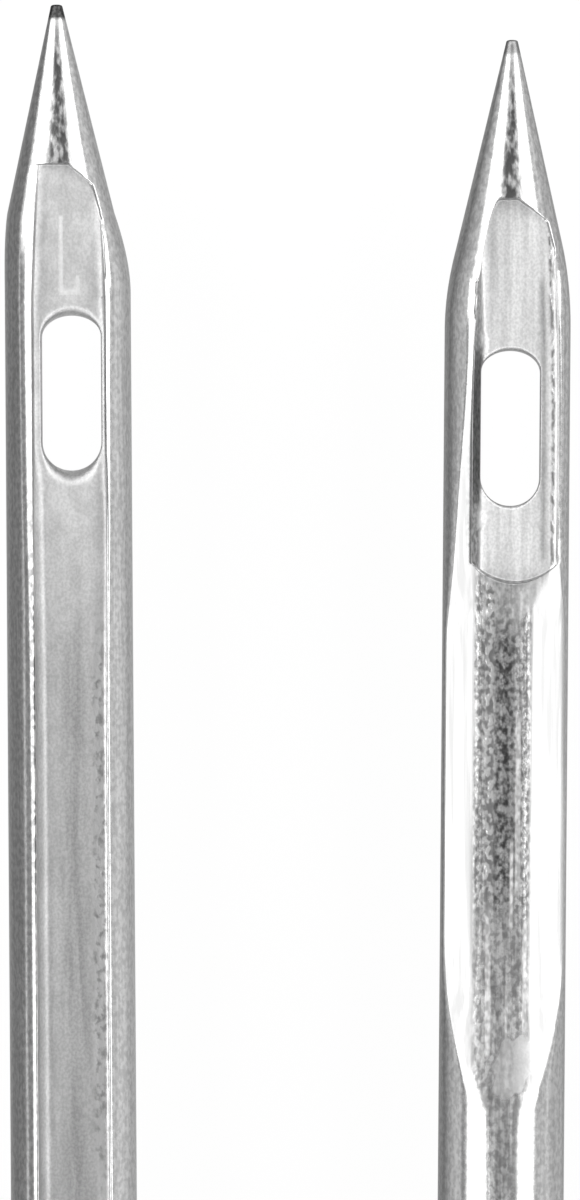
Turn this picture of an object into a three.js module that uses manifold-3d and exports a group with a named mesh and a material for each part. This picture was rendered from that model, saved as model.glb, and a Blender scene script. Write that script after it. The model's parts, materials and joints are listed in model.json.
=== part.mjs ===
// Two embroidery machine needles lying side by side on a surface, points towards +Y.
// The left needle has its long groove up, the right one its scarf. Millimetres and degrees, +Z up.
// Each needle is one piece of steel. It is made with its butt at the origin, its axis along +Y and
// its long groove facing +Z, and is then turned about its own axis and laid down.

import * as THREE from "three";
import { mergeVertices } from "three/addons/utils/BufferGeometryUtils.js";
import Module from "manifold-3d";

// Shank, shoulder and blade
const SHANK_DIAMETER = 1.62;
const SHANK_LENGTH = 12;
const BUTT_CHAMFER = 0.2;
const SHOULDER_LENGTH = 2.6;
const BLADE_DIAMETER = 0.75;

// Eye, measured from the butt to its nearer end
const BUTT_TO_EYE = 33.9;
const EYE_LENGTH = 0.925;
const EYE_WIDTH = 0.355;
const EYE_TO_TIP = 1.85;
const EYE_RIM_WIDTH = 0.02;
const EYE_RIM_DEPTH = 0.1;

// Point: a straight cone that rounds off into the blade and ends in a small crowned tip
const POINT_HALF_ANGLE = 13;
const POINT_ROUNDING = 0.24;
const TIP_DIAMETER = 0.07;
const TIP_CROWN = 0.012;

// Long groove in front, which carries the thread from the shoulder to the eye
const EYE_WALL = 0.045;
const GROOVE_CORNER_RADIUS = 0.065;
const EYE_LAND_DEPTH = 0.18;
const LONG_GROOVE_DEPTH = 0.26;
const LAND_BEYOND_EYE = 0.89;
const LAND_CORNER_CUT = 0.18;
const LAND_BEHIND_EYE = 0.3;
const LONG_GROOVE_RAMP = 4;
const LONG_GROOVE_RUNOUT = 1.5;
const GROOVE_TO_SHOULDER = 0.6;

// Short groove behind the eye, which is a little wider and ends in a bow towards the scarf
const SHORT_GROOVE_WALL = 0.0815;
const SHORT_GROOVE_DEPTH = 0.21;
const EYE_TO_SHORT_GROOVE_END = 0.445;
const SHORT_GROOVE_END_BOW = 0.11;

// Scarf, from the eye's side: a long slight ramp, a step down, the flat and a ramp out
const SCARF_DEPTH = 0.175;
const SCARF_CROWN = 0.109;
const EYE_TO_SCARF_STEP = 0.4;
const SCARF_ENTRY_RAMP = 1.77;
const SCARF_STEP_LENGTH = 0.35;
const SCARF_STEP_HEIGHT = 0.06;
const SCARF_FLAT = 1.955;
const SCARF_EXIT_RAMP = 0.88;
const SCARF_BLEND = 0.3;

// How the two needles lie: clear gap between the shanks at the butts, splay of each needle,
// and how far the right one is drawn back
const SHANK_GAP = 0.48;
const LEFT_SPLAY = 0.39;
const RIGHT_SPLAY = 0.46;
const RIGHT_SETBACK = 0.21;

// What the tools left off the middle: the left needle's point, to the left, and all else to the right
const LEFT_POINT_RUNOUT = 0.055;
const LEFT_EYE_OFFSET = 0.02;
const RIGHT_POINT_RUNOUT = 0.013;
const RIGHT_EYE_OFFSET = 0.02;
const RIGHT_SHORT_GROOVE_OFFSET = 0.052;

// Facets, how far cutters reach past what they cut, and how near points are merged
const ROUND_SEGMENTS = 48;
const CURVE_SEGMENTS = 8;
const TIP_SEGMENTS = 3;
const CUT_OVERSHOOT = 0.03;
const MERGE_DISTANCE = 1e-6;

const shankRadius = SHANK_DIAMETER / 2;
const bladeRadius = BLADE_DIAMETER / 2;
const shoulderEnd = SHANK_LENGTH + SHOULDER_LENGTH;
const eyeMiddle = BUTT_TO_EYE + EYE_LENGTH / 2;
const eyeFarEnd = BUTT_TO_EYE + EYE_LENGTH;
const tip = eyeFarEnd + EYE_TO_TIP;
const landHeight = bladeRadius - EYE_LAND_DEPTH;
const shortGrooveHeight = bladeRadius - SHORT_GROOVE_DEPTH;
const landEnd = eyeFarEnd + LAND_BEYOND_EYE;
const pointSlope = Math.tan(THREE.MathUtils.degToRad(POINT_HALF_ANGLE));
const tipRadius = TIP_DIAMETER / 2;
const coneEnd = tip - TIP_CROWN;
const coneCorner = coneEnd - (bladeRadius - tipRadius) / pointSlope;
const scarfStepTop = BUTT_TO_EYE - EYE_TO_SCARF_STEP;
const scarfTop = scarfStepTop + SCARF_ENTRY_RAMP;
const scarfStepFoot = scarfStepTop - SCARF_STEP_LENGTH;

const wasm = await Module();
wasm.setup();

// Turns a closed three.js geometry into a solid for cutting.
function toSolid(geometry) {
  const bare = geometry.clone();
  bare.deleteAttribute("normal");
  bare.deleteAttribute("uv");
  const merged = mergeVertices(bare, MERGE_DISTANCE);
  const mesh = new wasm.Mesh({
    numProp: 3,
    vertProperties: merged.getAttribute("position").array,
    triVerts: Uint32Array.from(merged.getIndex().array),
  });
  return new wasm.Manifold(mesh);
}

// Turns a cut solid back into a three.js geometry.
function toGeometry(solid) {
  const mesh = solid.getMesh();
  const geometry = new THREE.BufferGeometry();
  geometry.setAttribute("position", new THREE.BufferAttribute(mesh.vertProperties, 3));
  geometry.setIndex(new THREE.BufferAttribute(mesh.triVerts, 1));
  geometry.computeVertexNormals();
  return geometry;
}

// Half outline of the round needle, from the middle of the butt to the tip.
function needleOutline() {
  const shoulderEase = SHOULDER_LENGTH / 3;
  const shoulder = new THREE.CubicBezierCurve(
    new THREE.Vector2(shankRadius, SHANK_LENGTH),
    new THREE.Vector2(shankRadius, SHANK_LENGTH + shoulderEase),
    new THREE.Vector2(bladeRadius, shoulderEnd - shoulderEase),
    new THREE.Vector2(bladeRadius, shoulderEnd),
  );
  const pointRounding = new THREE.QuadraticBezierCurve(
    new THREE.Vector2(bladeRadius, coneCorner - POINT_ROUNDING),
    new THREE.Vector2(bladeRadius, coneCorner),
    new THREE.Vector2(bladeRadius - POINT_ROUNDING * pointSlope, coneCorner + POINT_ROUNDING),
  );
  const crown = new THREE.QuadraticBezierCurve(
    new THREE.Vector2(tipRadius, coneEnd),
    new THREE.Vector2(tipRadius - TIP_CROWN * pointSlope, tip),
    new THREE.Vector2(0, tip),
  );
  return [
    new THREE.Vector2(0, 0),
    new THREE.Vector2(shankRadius - BUTT_CHAMFER, 0),
    new THREE.Vector2(shankRadius, BUTT_CHAMFER),
    ...shoulder.getPoints(CURVE_SEGMENTS),
    ...pointRounding.getPoints(CURVE_SEGMENTS),
    ...crown.getPoints(TIP_SEGMENTS),
  ];
}

// The round needle before its cuts. Its point stands off the axis by runout, eased in along the cone.
function roundNeedle(runout) {
  const geometry = new THREE.LatheGeometry(needleOutline(), ROUND_SEGMENTS);
  const position = geometry.getAttribute("position");
  const easeStart = coneCorner - POINT_ROUNDING;
  for (let i = 0; i < position.count; i += 1) {
    const ease = THREE.MathUtils.smoothstep(position.getY(i), easeStart, landEnd);
    position.setX(i, position.getX(i) + runout * ease);
  }
  return toSolid(geometry);
}

// A cutter whose section is carried along the needle. Each station gives a place along the axis
// and the height there of the section's lowest middle point.
function carriedCutter(section, stations) {
  const steps = stations.length - 1;
  const geometry = new THREE.ExtrudeGeometry(section, {
    depth: 1,
    steps,
    bevelEnabled: false,
    curveSegments: CURVE_SEGMENTS,
  });
  const position = geometry.getAttribute("position");
  for (let i = 0; i < position.count; i += 1) {
    const station = stations[Math.round(position.getZ(i) * steps)];
    position.setXYZ(i, -position.getX(i), station.x, station.y + position.getY(i));
  }
  return geometry;
}

// Section of a groove: a flat floor at zero height with round corners and upright walls.
function grooveSection(half) {
  const round = GROOVE_CORNER_RADIUS;
  const section = new THREE.Shape();
  section.moveTo(-half, BLADE_DIAMETER);
  section.lineTo(-half, round);
  section.absarc(round - half, round, round, Math.PI, 1.5 * Math.PI);
  section.absarc(half - round, round, round, 1.5 * Math.PI, 2 * Math.PI);
  section.lineTo(half, BLADE_DIAMETER);
  return section;
}

// A groove as a cutter: its section along the stations, kept inside its plan. The plan bows towards the
// butt at the near end. At the far end its right half is cut back towards the wall.
function grooveCutter(half, stations, bow) {
  const near = stations[0].x;
  const side = half + CUT_OVERSHOOT;
  const rise = bow * (side / half) ** 2;
  const plan = new THREE.Shape();
  plan.moveTo(-side, near + rise);
  plan.quadraticCurveTo(0, near - rise, side, near + rise);
  plan.lineTo(side, landEnd - (LAND_CORNER_CUT * side) / half);
  plan.lineTo(0, landEnd);
  plan.lineTo(-side, landEnd);
  const upright = new THREE.ExtrudeGeometry(plan, {
    depth: BLADE_DIAMETER,
    bevelEnabled: false,
    curveSegments: CURVE_SEGMENTS,
  });
  return toSolid(carriedCutter(grooveSection(half), stations)).intersect(toSolid(upright));
}

// The long groove: level past the eye, sinking to its full depth and running out before the shoulder.
function longGroove() {
  const half = EYE_WIDTH / 2 + EYE_WALL;
  const grooveFloor = bladeRadius - LONG_GROOVE_DEPTH;
  const runoutTop = shoulderEnd + GROOVE_TO_SHOULDER;
  const landStart = BUTT_TO_EYE - LAND_BEHIND_EYE;
  const stations = [
    new THREE.Vector2(runoutTop, bladeRadius + CUT_OVERSHOOT),
    new THREE.Vector2(runoutTop + LONG_GROOVE_RUNOUT, grooveFloor),
    new THREE.Vector2(landStart - LONG_GROOVE_RAMP, grooveFloor),
    new THREE.Vector2(landStart, landHeight),
    new THREE.Vector2(landEnd, landHeight),
  ];
  return grooveCutter(half, stations, 0);
}

// The short groove: a level floor round the eye, with a bowed end at the scarf's step.
function shortGroove(offset) {
  const half = EYE_WIDTH / 2 + SHORT_GROOVE_WALL;
  const stations = [
    new THREE.Vector2(BUTT_TO_EYE - EYE_TO_SHORT_GROOVE_END, shortGrooveHeight),
    new THREE.Vector2(landEnd, shortGrooveHeight),
  ];
  const cutter = grooveCutter(half, stations, SHORT_GROOVE_END_BOW);
  return cutter.rotate([0, 180, 0]).translate([offset, 0, 0]);
}

// Section of the scarf: a crowned floor with its crest at zero height, falling to the blade's sides.
function scarfSection() {
  const radius = (bladeRadius ** 2 + SCARF_CROWN ** 2) / (2 * SCARF_CROWN);
  const spread = Math.asin(bladeRadius / radius);
  const upright = Math.PI / 2;
  const half = bladeRadius + CUT_OVERSHOOT;
  const section = new THREE.Shape();
  section.moveTo(-half, -SCARF_CROWN);
  section.absarc(0, -radius, radius, upright + spread, upright - spread, true);
  section.lineTo(half, -SCARF_CROWN);
  section.lineTo(half, BLADE_DIAMETER);
  section.lineTo(-half, BLADE_DIAMETER);
  return section;
}

// The scarf: a crowned flat. A ramp and a step lead down to it from the eye, and a ramp leads out again.
function scarf() {
  const floor = bladeRadius - SCARF_DEPTH;
  const stepTopHeight = floor + SCARF_STEP_HEIGHT;
  const exitFoot = scarfStepFoot - SCARF_FLAT;
  const exitTop = exitFoot - SCARF_EXIT_RAMP;
  const entrySlope = (bladeRadius - stepTopHeight) / SCARF_ENTRY_RAMP;
  const exitSlope = SCARF_DEPTH / SCARF_EXIT_RAMP;
  const path = new THREE.Path();
  path.moveTo(exitTop - CUT_OVERSHOOT / exitSlope, bladeRadius + CUT_OVERSHOOT);
  path.lineTo(exitFoot - SCARF_BLEND, floor + SCARF_BLEND * exitSlope);
  path.quadraticCurveTo(exitFoot, floor, exitFoot + SCARF_BLEND, floor);
  path.lineTo(scarfStepFoot - SCARF_BLEND, floor);
  path.quadraticCurveTo(scarfStepFoot, floor, scarfStepTop, stepTopHeight);
  path.lineTo(scarfTop + CUT_OVERSHOOT / entrySlope, bladeRadius + CUT_OVERSHOOT);
  const cutter = carriedCutter(scarfSection(), path.getPoints(CURVE_SEGMENTS));
  return toSolid(cutter.rotateY(Math.PI));
}

// Outline of the eye: a slot with round ends, round the middle of the eye.
function eyeOutline() {
  const radius = EYE_WIDTH / 2;
  const straight = EYE_LENGTH / 2 - radius;
  const outline = new THREE.Shape();
  outline.absarc(0, straight, radius, 0, Math.PI);
  outline.absarc(0, -straight, radius, Math.PI, 2 * Math.PI);
  return outline;
}

// Mouth of the eye at a floor of the given height: a bevelled rim, and clear space above it.
function eyeMouth(height) {
  const mouth = new THREE.ExtrudeGeometry(eyeOutline(), {
    depth: BLADE_DIAMETER,
    bevelEnabled: true,
    bevelThickness: EYE_RIM_DEPTH,
    bevelSize: EYE_RIM_WIDTH,
    bevelSegments: 1,
    curveSegments: CURVE_SEGMENTS,
  });
  return mouth.translate(0, eyeMiddle, height);
}

// The eye, straight through from groove to groove.
function eye(offset) {
  const throat = new THREE.ExtrudeGeometry(eyeOutline(), {
    depth: BLADE_DIAMETER,
    bevelEnabled: false,
    curveSegments: CURVE_SEGMENTS,
  });
  const through = toSolid(throat.translate(0, eyeMiddle, -bladeRadius));
  const front = toSolid(eyeMouth(landHeight));
  const back = toSolid(eyeMouth(shortGrooveHeight).rotateY(Math.PI));
  return through.add(front).add(back).translate([offset, 0, 0]);
}

// One whole needle as a mesh, turned about its own axis by turn degrees. The offsets say how far its
// point, its eye and its short groove lie off the middle, along the needle's own +X.
function needle(name, turn, offsets) {
  const cuts = [longGroove(), shortGroove(offsets.shortGroove), scarf(), eye(offsets.eye)];
  const solid = cuts.reduce((rest, cut) => rest.subtract(cut), roundNeedle(offsets.point));
  const steel = new THREE.MeshStandardMaterial({ color: 0xc4c4c2, roughness: 0.22, metalness: 1 });
  const mesh = new THREE.Mesh(toGeometry(solid), steel);
  mesh.name = name;
  mesh.rotation.y = THREE.MathUtils.degToRad(turn);
  return mesh;
}

// Lays a needle down with its butt at (x, y), leaning sideways by splay degrees about its butt.
function laidDown(mesh, x, y, splay) {
  const place = new THREE.Group();
  place.add(mesh);
  place.position.set(x, y, shankRadius);
  place.rotation.z = THREE.MathUtils.degToRad(splay);
  return place;
}

// The pair, with its origin at the middle of the ground that it covers.
function layPair() {
  const sideways = (SHANK_DIAMETER + SHANK_GAP) / 2;
  const pair = new THREE.Group();
  const left = needle("groove_needle", 0, {
    point: -LEFT_POINT_RUNOUT,
    eye: LEFT_EYE_OFFSET,
    shortGroove: 0,
  });
  const right = needle("scarf_needle", 180, {
    point: -RIGHT_POINT_RUNOUT,
    eye: -RIGHT_EYE_OFFSET,
    shortGroove: -RIGHT_SHORT_GROOVE_OFFSET,
  });
  pair.add(laidDown(left, -sideways, 0, LEFT_SPLAY));
  pair.add(laidDown(right, sideways, -RIGHT_SETBACK, -RIGHT_SPLAY));
  const box = new THREE.Box3().setFromObject(pair, true);
  const middle = box.getCenter(new THREE.Vector3());
  pair.position.set(-middle.x, -middle.y, -box.min.z);
  return pair;
}

const needles = new THREE.Group();
needles.add(layPair());

export default needles;
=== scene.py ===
"""Two embroidery machine needles lying side by side on a white table, seen from straight above.

Each needle is one closed surface worked out on a grid: rings along the needle, columns across its front
and its back. Sizes are millimetres and degrees in the needle's own frame, with the butt at the origin,
+Y towards the point and +Z out of the long groove. They become metres when the needle is laid down.
"""

import json
import logging
import math
from dataclasses import dataclass, field
from enum import Enum

import bpy
import numpy as np
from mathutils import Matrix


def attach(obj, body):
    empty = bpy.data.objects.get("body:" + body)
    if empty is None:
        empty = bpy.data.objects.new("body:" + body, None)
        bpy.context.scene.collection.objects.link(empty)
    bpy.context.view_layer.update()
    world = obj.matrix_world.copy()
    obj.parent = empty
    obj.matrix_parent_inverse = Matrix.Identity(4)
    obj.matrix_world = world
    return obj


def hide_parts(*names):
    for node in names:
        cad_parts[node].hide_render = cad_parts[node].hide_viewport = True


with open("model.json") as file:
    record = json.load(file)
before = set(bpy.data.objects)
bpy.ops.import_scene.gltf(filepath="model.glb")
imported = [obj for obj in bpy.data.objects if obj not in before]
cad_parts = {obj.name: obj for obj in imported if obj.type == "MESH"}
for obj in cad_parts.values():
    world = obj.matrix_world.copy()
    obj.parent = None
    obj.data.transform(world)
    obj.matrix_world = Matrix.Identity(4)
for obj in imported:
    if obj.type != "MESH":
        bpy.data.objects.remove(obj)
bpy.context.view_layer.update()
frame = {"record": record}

Array = np.ndarray
Pair = tuple[float, float]
Row = tuple[float, ...]
Socket = bpy.types.NodeSocket
MM = 0.001
TINY = 1e-9
BODY = "root"

log = logging.getLogger("needles")


class Side(Enum):
    """A face of the needle, with the sign of its heights."""

    FRONT = 1
    BACK = -1


class Finish(Enum):
    """A finish of the steel, or a painted shade over it, with the name of the mask that the surface
    carries for it.
    """

    PRESSED = "finish_pressed"
    PALE = "finish_pale"
    # painted shade: a darker tone on the deep floor, in a band beside the eye and on the scarf's funnel
    PAINTED_SHADE = "finish_painted_shade"
    GROUND = "finish_ground"
    PITS = "finish_pits"
    STRIP = "finish_strip"
    PITTED = "finish_pitted"
    CORE = "finish_core"
    STREAK = "finish_streak"
    BEADS = "finish_beads"
    DIE = "finish_die"
    LIP = "finish_lip"
    WALL = "finish_wall_shade"
    RIM = "finish_rim"
    PATCH = "finish_patch"
    TIP = "finish_tip"


def finish_masks(shape: tuple[int, ...], masks: dict[Finish, Array]) -> Array:
    """Stacks masks in the order of the finishes, with zeros for those that aren't given."""
    return np.stack([np.broadcast_to(masks.get(finish, 0.0), shape) for finish in Finish], axis=-1)


def ease(values: Array, start: float, end: float) -> Array:
    """Eases from 0 at start to 1 at end: 3t squared less 2t cubed of the share t of the way.

    Args:
        values: Places along the way.
        start: Place where the result is 0.
        end: Place where the result is 1.

    Returns:
        The eased share of each place.
    """
    t = np.clip((values - start) / (end - start), 0.0, 1.0)
    return t * t * (3.0 - 2.0 * t)


def tent(values: Array, start: float, top: float, end: float) -> Array:
    """Rises straight from 0 at start to 1 at top and falls straight to 0 at end."""
    return np.interp(values, [start, top, end], [0.0, 1.0, 0.0])


def band(values: Array, middle: float | Array, inner: float, outer: float) -> Array:
    """Mask that is 1 up to inner on both sides of the middle and eases to 0 at outer."""
    return 1.0 - ease(np.abs(values - middle), inner, outer)


def span(values: Array, start: float, end: float, rise: float, fall: float) -> Array:
    """Mask of a stretch: eases up over rise from its start and down over fall to its end."""
    return ease(values, start, start + rise) * (1.0 - ease(values, end - fall, end))


def soft_min(a: Array, b: Array, width: float) -> Array:
    """The lower of two heights, rounded by a parabola where they differ by less than width.

    Args:
        a: First heights.
        b: Second heights.
        width: Difference below which the crossing is rounded.

    Returns:
        The rounded lower heights.
    """
    share = np.clip(0.5 + 0.5 * (b - a) / width, 0.0, 1.0)
    return b + (a - b) * share - width * share * (1.0 - share)


@dataclass
class RoundBody:
    """The round needle before its cuts: chamfered butt, shank, shoulder, blade and crowned cone."""

    shank_diameter: float = 1.62
    shank_length: float = 12.0
    butt_chamfer: float = 0.2
    shoulder_length: float = 2.6
    blade_diameter: float = 0.75
    butt_to_tip: float = 36.675
    point_half_angle: float = 13.0
    point_rounding: float = 0.24
    tip_diameter: float = 0.07
    tip_crown: float = 0.012
    runout: float = 0.0
    runout_end: float = 35.715

    def __post_init__(self) -> None:
        """Works out the places that follow from the sizes."""
        self.shank_radius = self.shank_diameter / 2
        self.blade_radius = self.blade_diameter / 2
        self.tip_radius = self.tip_diameter / 2
        self.shoulder_end = self.shank_length + self.shoulder_length
        self.slope = math.tan(math.radians(self.point_half_angle))
        self.cone_end = self.butt_to_tip - self.tip_crown
        self.cone_corner = self.cone_end - (self.blade_radius - self.tip_radius) / self.slope

    def radius(self, y: Array) -> Array:
        """Radius along the needle up to the crown: chamfer, eased shoulder, parabolic rounding and cone.

        Args:
            y: Places along the needle.

        Returns:
            The radius at each place.
        """
        rounding = self.point_rounding
        shank = np.minimum(self.shank_radius, self.shank_radius - self.butt_chamfer + y)
        narrowing = ease(y, self.shank_length, self.shoulder_end)
        wire = shank + (self.blade_radius - self.shank_radius) * narrowing
        turn = np.clip((y - self.cone_corner + rounding) / (2 * rounding), 0.0, 1.0)
        past = np.maximum(y - self.cone_corner - rounding, 0.0)
        return wire - self.slope * (rounding * turn**2 + past)

    def crown(self, steps: int) -> tuple[Array, Array]:
        """Rings of the tip's crown, a parabolic arc from the cone's end, without the tip itself.

        Args:
            steps: Number of steps from the cone's end to the tip.

        Returns:
            The rings' places along the needle and their radii.
        """
        t = np.arange(1, steps) / steps
        corner = self.tip_radius - self.tip_crown * self.slope
        y = self.cone_end + self.tip_crown * (2 * t - t**2)
        return y, self.tip_radius * (1 - t) ** 2 + 2 * corner * t * (1 - t)

    def offset(self, y: Array) -> Array:
        """Sideways run-out of the point: eased along the rounding, then steady up to the tip.

        Args:
            y: Places along the needle.

        Returns:
            How far the section's middle lies from the axis.
        """
        start = self.cone_corner - self.point_rounding
        end = self.cone_corner + self.point_rounding
        eased = ease(np.minimum(y, end), start, self.runout_end)
        left = 1.0 - ease(np.array(end), start, self.runout_end)
        return self.runout * (eased + left * np.clip((y - end) / (self.cone_end - end), 0.0, 1.0))

    def height(self, x: Array, y: Array, r: Array) -> Array:
        """Height of the round section over its mid plane: the root of r squared less x squared.

        Args:
            x: Places across the needle.
            y: Places along the needle.
            r: Radius at those places.

        Returns:
            The height, 0 outside the section.
        """
        return np.sqrt(np.maximum(r**2 - (x - self.offset(y)) ** 2, 0.0))


@dataclass
class ThreadGroove:
    """A pressed groove: flat floor, corners that rise into steep walls, rounded lips and shaped ends."""

    half_width: float
    land_height: float
    cut_side: float
    offset: float = 0.0
    lean_places: Row = (34.9, 35.25, 35.5)
    left_leans: Row = (0.012, 0.012, 0.012)
    right_leans: Row = (0.012, 0.012, 0.012)
    narrowing_places: Row = (34.5, 34.92, 35.21, 35.715)
    narrowing: Row = (0.0, 0.008, 0.02, 0.037)
    land_end: float = 35.715
    corner_cut: float = 0.18
    curve_start: float = 0.1
    curve: float = 0.0
    deepest_curve: float = 0.5
    end_steepness: float = 7.0
    end_bend: Pair = (35.0, 36.1)
    land_corner: Pair = (0.05, 0.012)
    lip_slope: float = 0.3
    steepest_lip: float = 0.35
    lip_reach: float = 0.09
    lip_shares: Pair = (0.6, 0.6)
    lip_places: Row = (31.5, 33.2, 33.9, 34.9)
    lip_widths: Row = (0.04, 0.048, 0.07, 0.1)
    lip_bead_places: Row = (31.0, 31.6, 33.2, 34.0)
    lip_beads: Row = (0.25, 1.0, 1.0, 0.2)
    right_lip_beads: float = 1.0
    lip_wall: float = 0.03
    lip_least_wall: float = 0.005
    edge_rounding: float = 0.01
    lip_edge: float = 0.5
    wall_foot: float = 0.3
    least_rise: float = 0.05
    # heights and places of the painted shade on the groove's walls
    wall_shade_heights: Pair = (0.05, 0.1)
    end_shade_rise: float = 0.015
    wall_shade_places: Pair = (33.2, 34.0)
    wall_shade_shares: Pair = (1.0, 1.0)
    narrowest_share: float = 0.45
    floor_steps: int = 20
    corner_steps: int = 9
    lip_steps: int = 8

    def half(self, y: Array) -> Array:
        """Half the groove's width, which narrows from the eye towards the point."""
        return self.half_width - np.interp(y, self.narrowing_places, self.narrowing)

    def line(self, y: Array) -> Array:
        """Height of the floor's middle line, without the walls at the groove's ends."""
        return np.full_like(y, self.land_height)

    def corner(self, x: Array, y: Array) -> tuple[Array, Array]:
        """Width and height of the corner between floor and wall."""
        return np.full_like(y, self.land_corner[0]), np.full_like(y, self.land_corner[1])

    def far_end(self, x: Array) -> Array:
        """Where the groove ends near the point.

        It is cut back straight along one half, and along the other by a parabola down to a deepest
        place.

        Args:
            x: Places across the needle.

        Returns:
            The end's place along the needle.
        """
        aside = self.cut_side * (x - self.offset)
        straight = self.corner_cut * np.clip(aside / self.half_width, 0.0, 1.0)
        curved = self.curve * np.maximum(-aside - self.curve_start, 0.0) ** 2
        return self.land_end - straight - np.minimum(curved, self.deepest_curve)

    def floor(self, x: Array, y: Array) -> Array:
        """Height of the floor, which climbs steeply past the groove's far end."""
        return self.line(y) + self.end_steepness * np.maximum(y - self.far_end(x), 0.0)

    def row_shift(self, x: Array, y: Array) -> Array:
        """How far the grid's rings bend along the needle to follow the far end."""
        start, end = self.end_bend
        return (self.far_end(x) - self.land_end) * tent(y, start, self.land_end, end)

    def half_columns(self, window: float, reach: float) -> Array:
        """Column places from the eye's middle to the outside of one lip.

        They are even up to the window, closer and closer up to the wall, and even again on the lip.

        Args:
            window: Half width of the window round the eye, where one column runs.
            reach: How far the wall stands from the eye's middle.

        Returns:
            The places, in rising order from 0.
        """
        t = np.linspace(0.0, 1.0, self.corner_steps, endpoint=False)
        return np.concatenate([
            np.linspace(0.0, window, self.floor_steps, endpoint=False),
            window + (reach - window) * (2.0 * t - t**2),
            reach + np.linspace(0.0, self.lip_reach, self.lip_steps + 1),
        ])

    def lips(self, y: Array, r: Array, offset: Array) -> tuple[Array, Array]:
        """Left and right edge that the columns follow: the walls, or where the floor leaves the body.

        Args:
            y: Places along the needle.
            r: Radius there.
            offset: Sideways run-out there.

        Returns:
            The two edges across the needle.
        """
        half = self.half(y)
        reach = np.sqrt(np.maximum(r**2 - self.line(y) ** 2, (self.narrowest_share * r) ** 2))
        left = np.maximum(offset - reach, self.offset - half)
        return left, np.minimum(offset + reach, self.offset + half)

    def cut(
        self, upper: Array, at_wall: Array, fall: Array, x: Array, y: Array
    ) -> tuple[Array, Array, Array]:
        """Presses the groove into a surface.

        The floor rises by a parabola into a steep wall. The lip is a parabola too, which leaves the
        surface level with it and falls away towards the wall, and it narrows to nothing with the wall.

        Args:
            upper: Heights of the surface before the cut.
            at_wall: Its heights at the nearer wall.
            fall: How steeply it falls outwards there.
            x: Places across the needle.
            y: Places along the needle.

        Returns:
            The heights after the cut, a mask of the lips and a mask of the painted shade on the walls.
        """
        half = self.half(y)
        reach = np.abs(x - self.offset)
        leans = (np.interp(y, self.lean_places, side) for side in (self.left_leans, self.right_leans))
        lean = np.where(x < self.offset, *leans)
        floor = self.floor(x, y)
        wall = at_wall - floor
        share = np.where(x < self.offset, *self.lip_shares)
        share = share * np.clip((wall - self.lip_least_wall) / self.lip_wall, 0.0, 1.0)
        width = np.interp(y, self.lip_places, self.lip_widths) * share
        into = np.clip(half + width - reach, 0.0, width) / np.maximum(width, TINY)
        turn = np.clip((fall - self.lip_slope) / 2, 0.0, self.steepest_lip)
        rounded = upper - turn * width * into**2
        corner_width, corner_height = self.corner(x, y)
        foot = half - lean
        climb = np.clip((reach - foot) / corner_width + 1.0, 0.0, 1.0)
        rise = np.maximum(wall - corner_height, self.least_rise) * np.maximum(reach - foot, 0.0) / lean
        height = soft_min(rounded, floor + corner_height * climb**2 + rise, self.edge_rounding)
        below = ease(rounded - height, 0.0, self.lip_edge * self.edge_rounding)
        # painted shade: a dark tone on the steep side walls and on the walls that close the groove's
        # ends
        side_wall = ease(reach - foot, 0.0, self.wall_foot * lean) * ease(wall, *self.wall_shade_heights)
        steep = np.maximum(side_wall, ease(floor - self.line(y), 0.0, self.end_shade_rise))
        lip = ease(reach, half - self.edge_rounding, half) * into * (1.0 - below)
        lip = lip * np.interp(y, self.lip_bead_places, self.lip_beads)
        lip = lip * np.where(x < self.offset, 1.0, self.right_lip_beads)
        return height, lip, steep * below * np.interp(y, self.wall_shade_places, self.wall_shade_shares)


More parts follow.
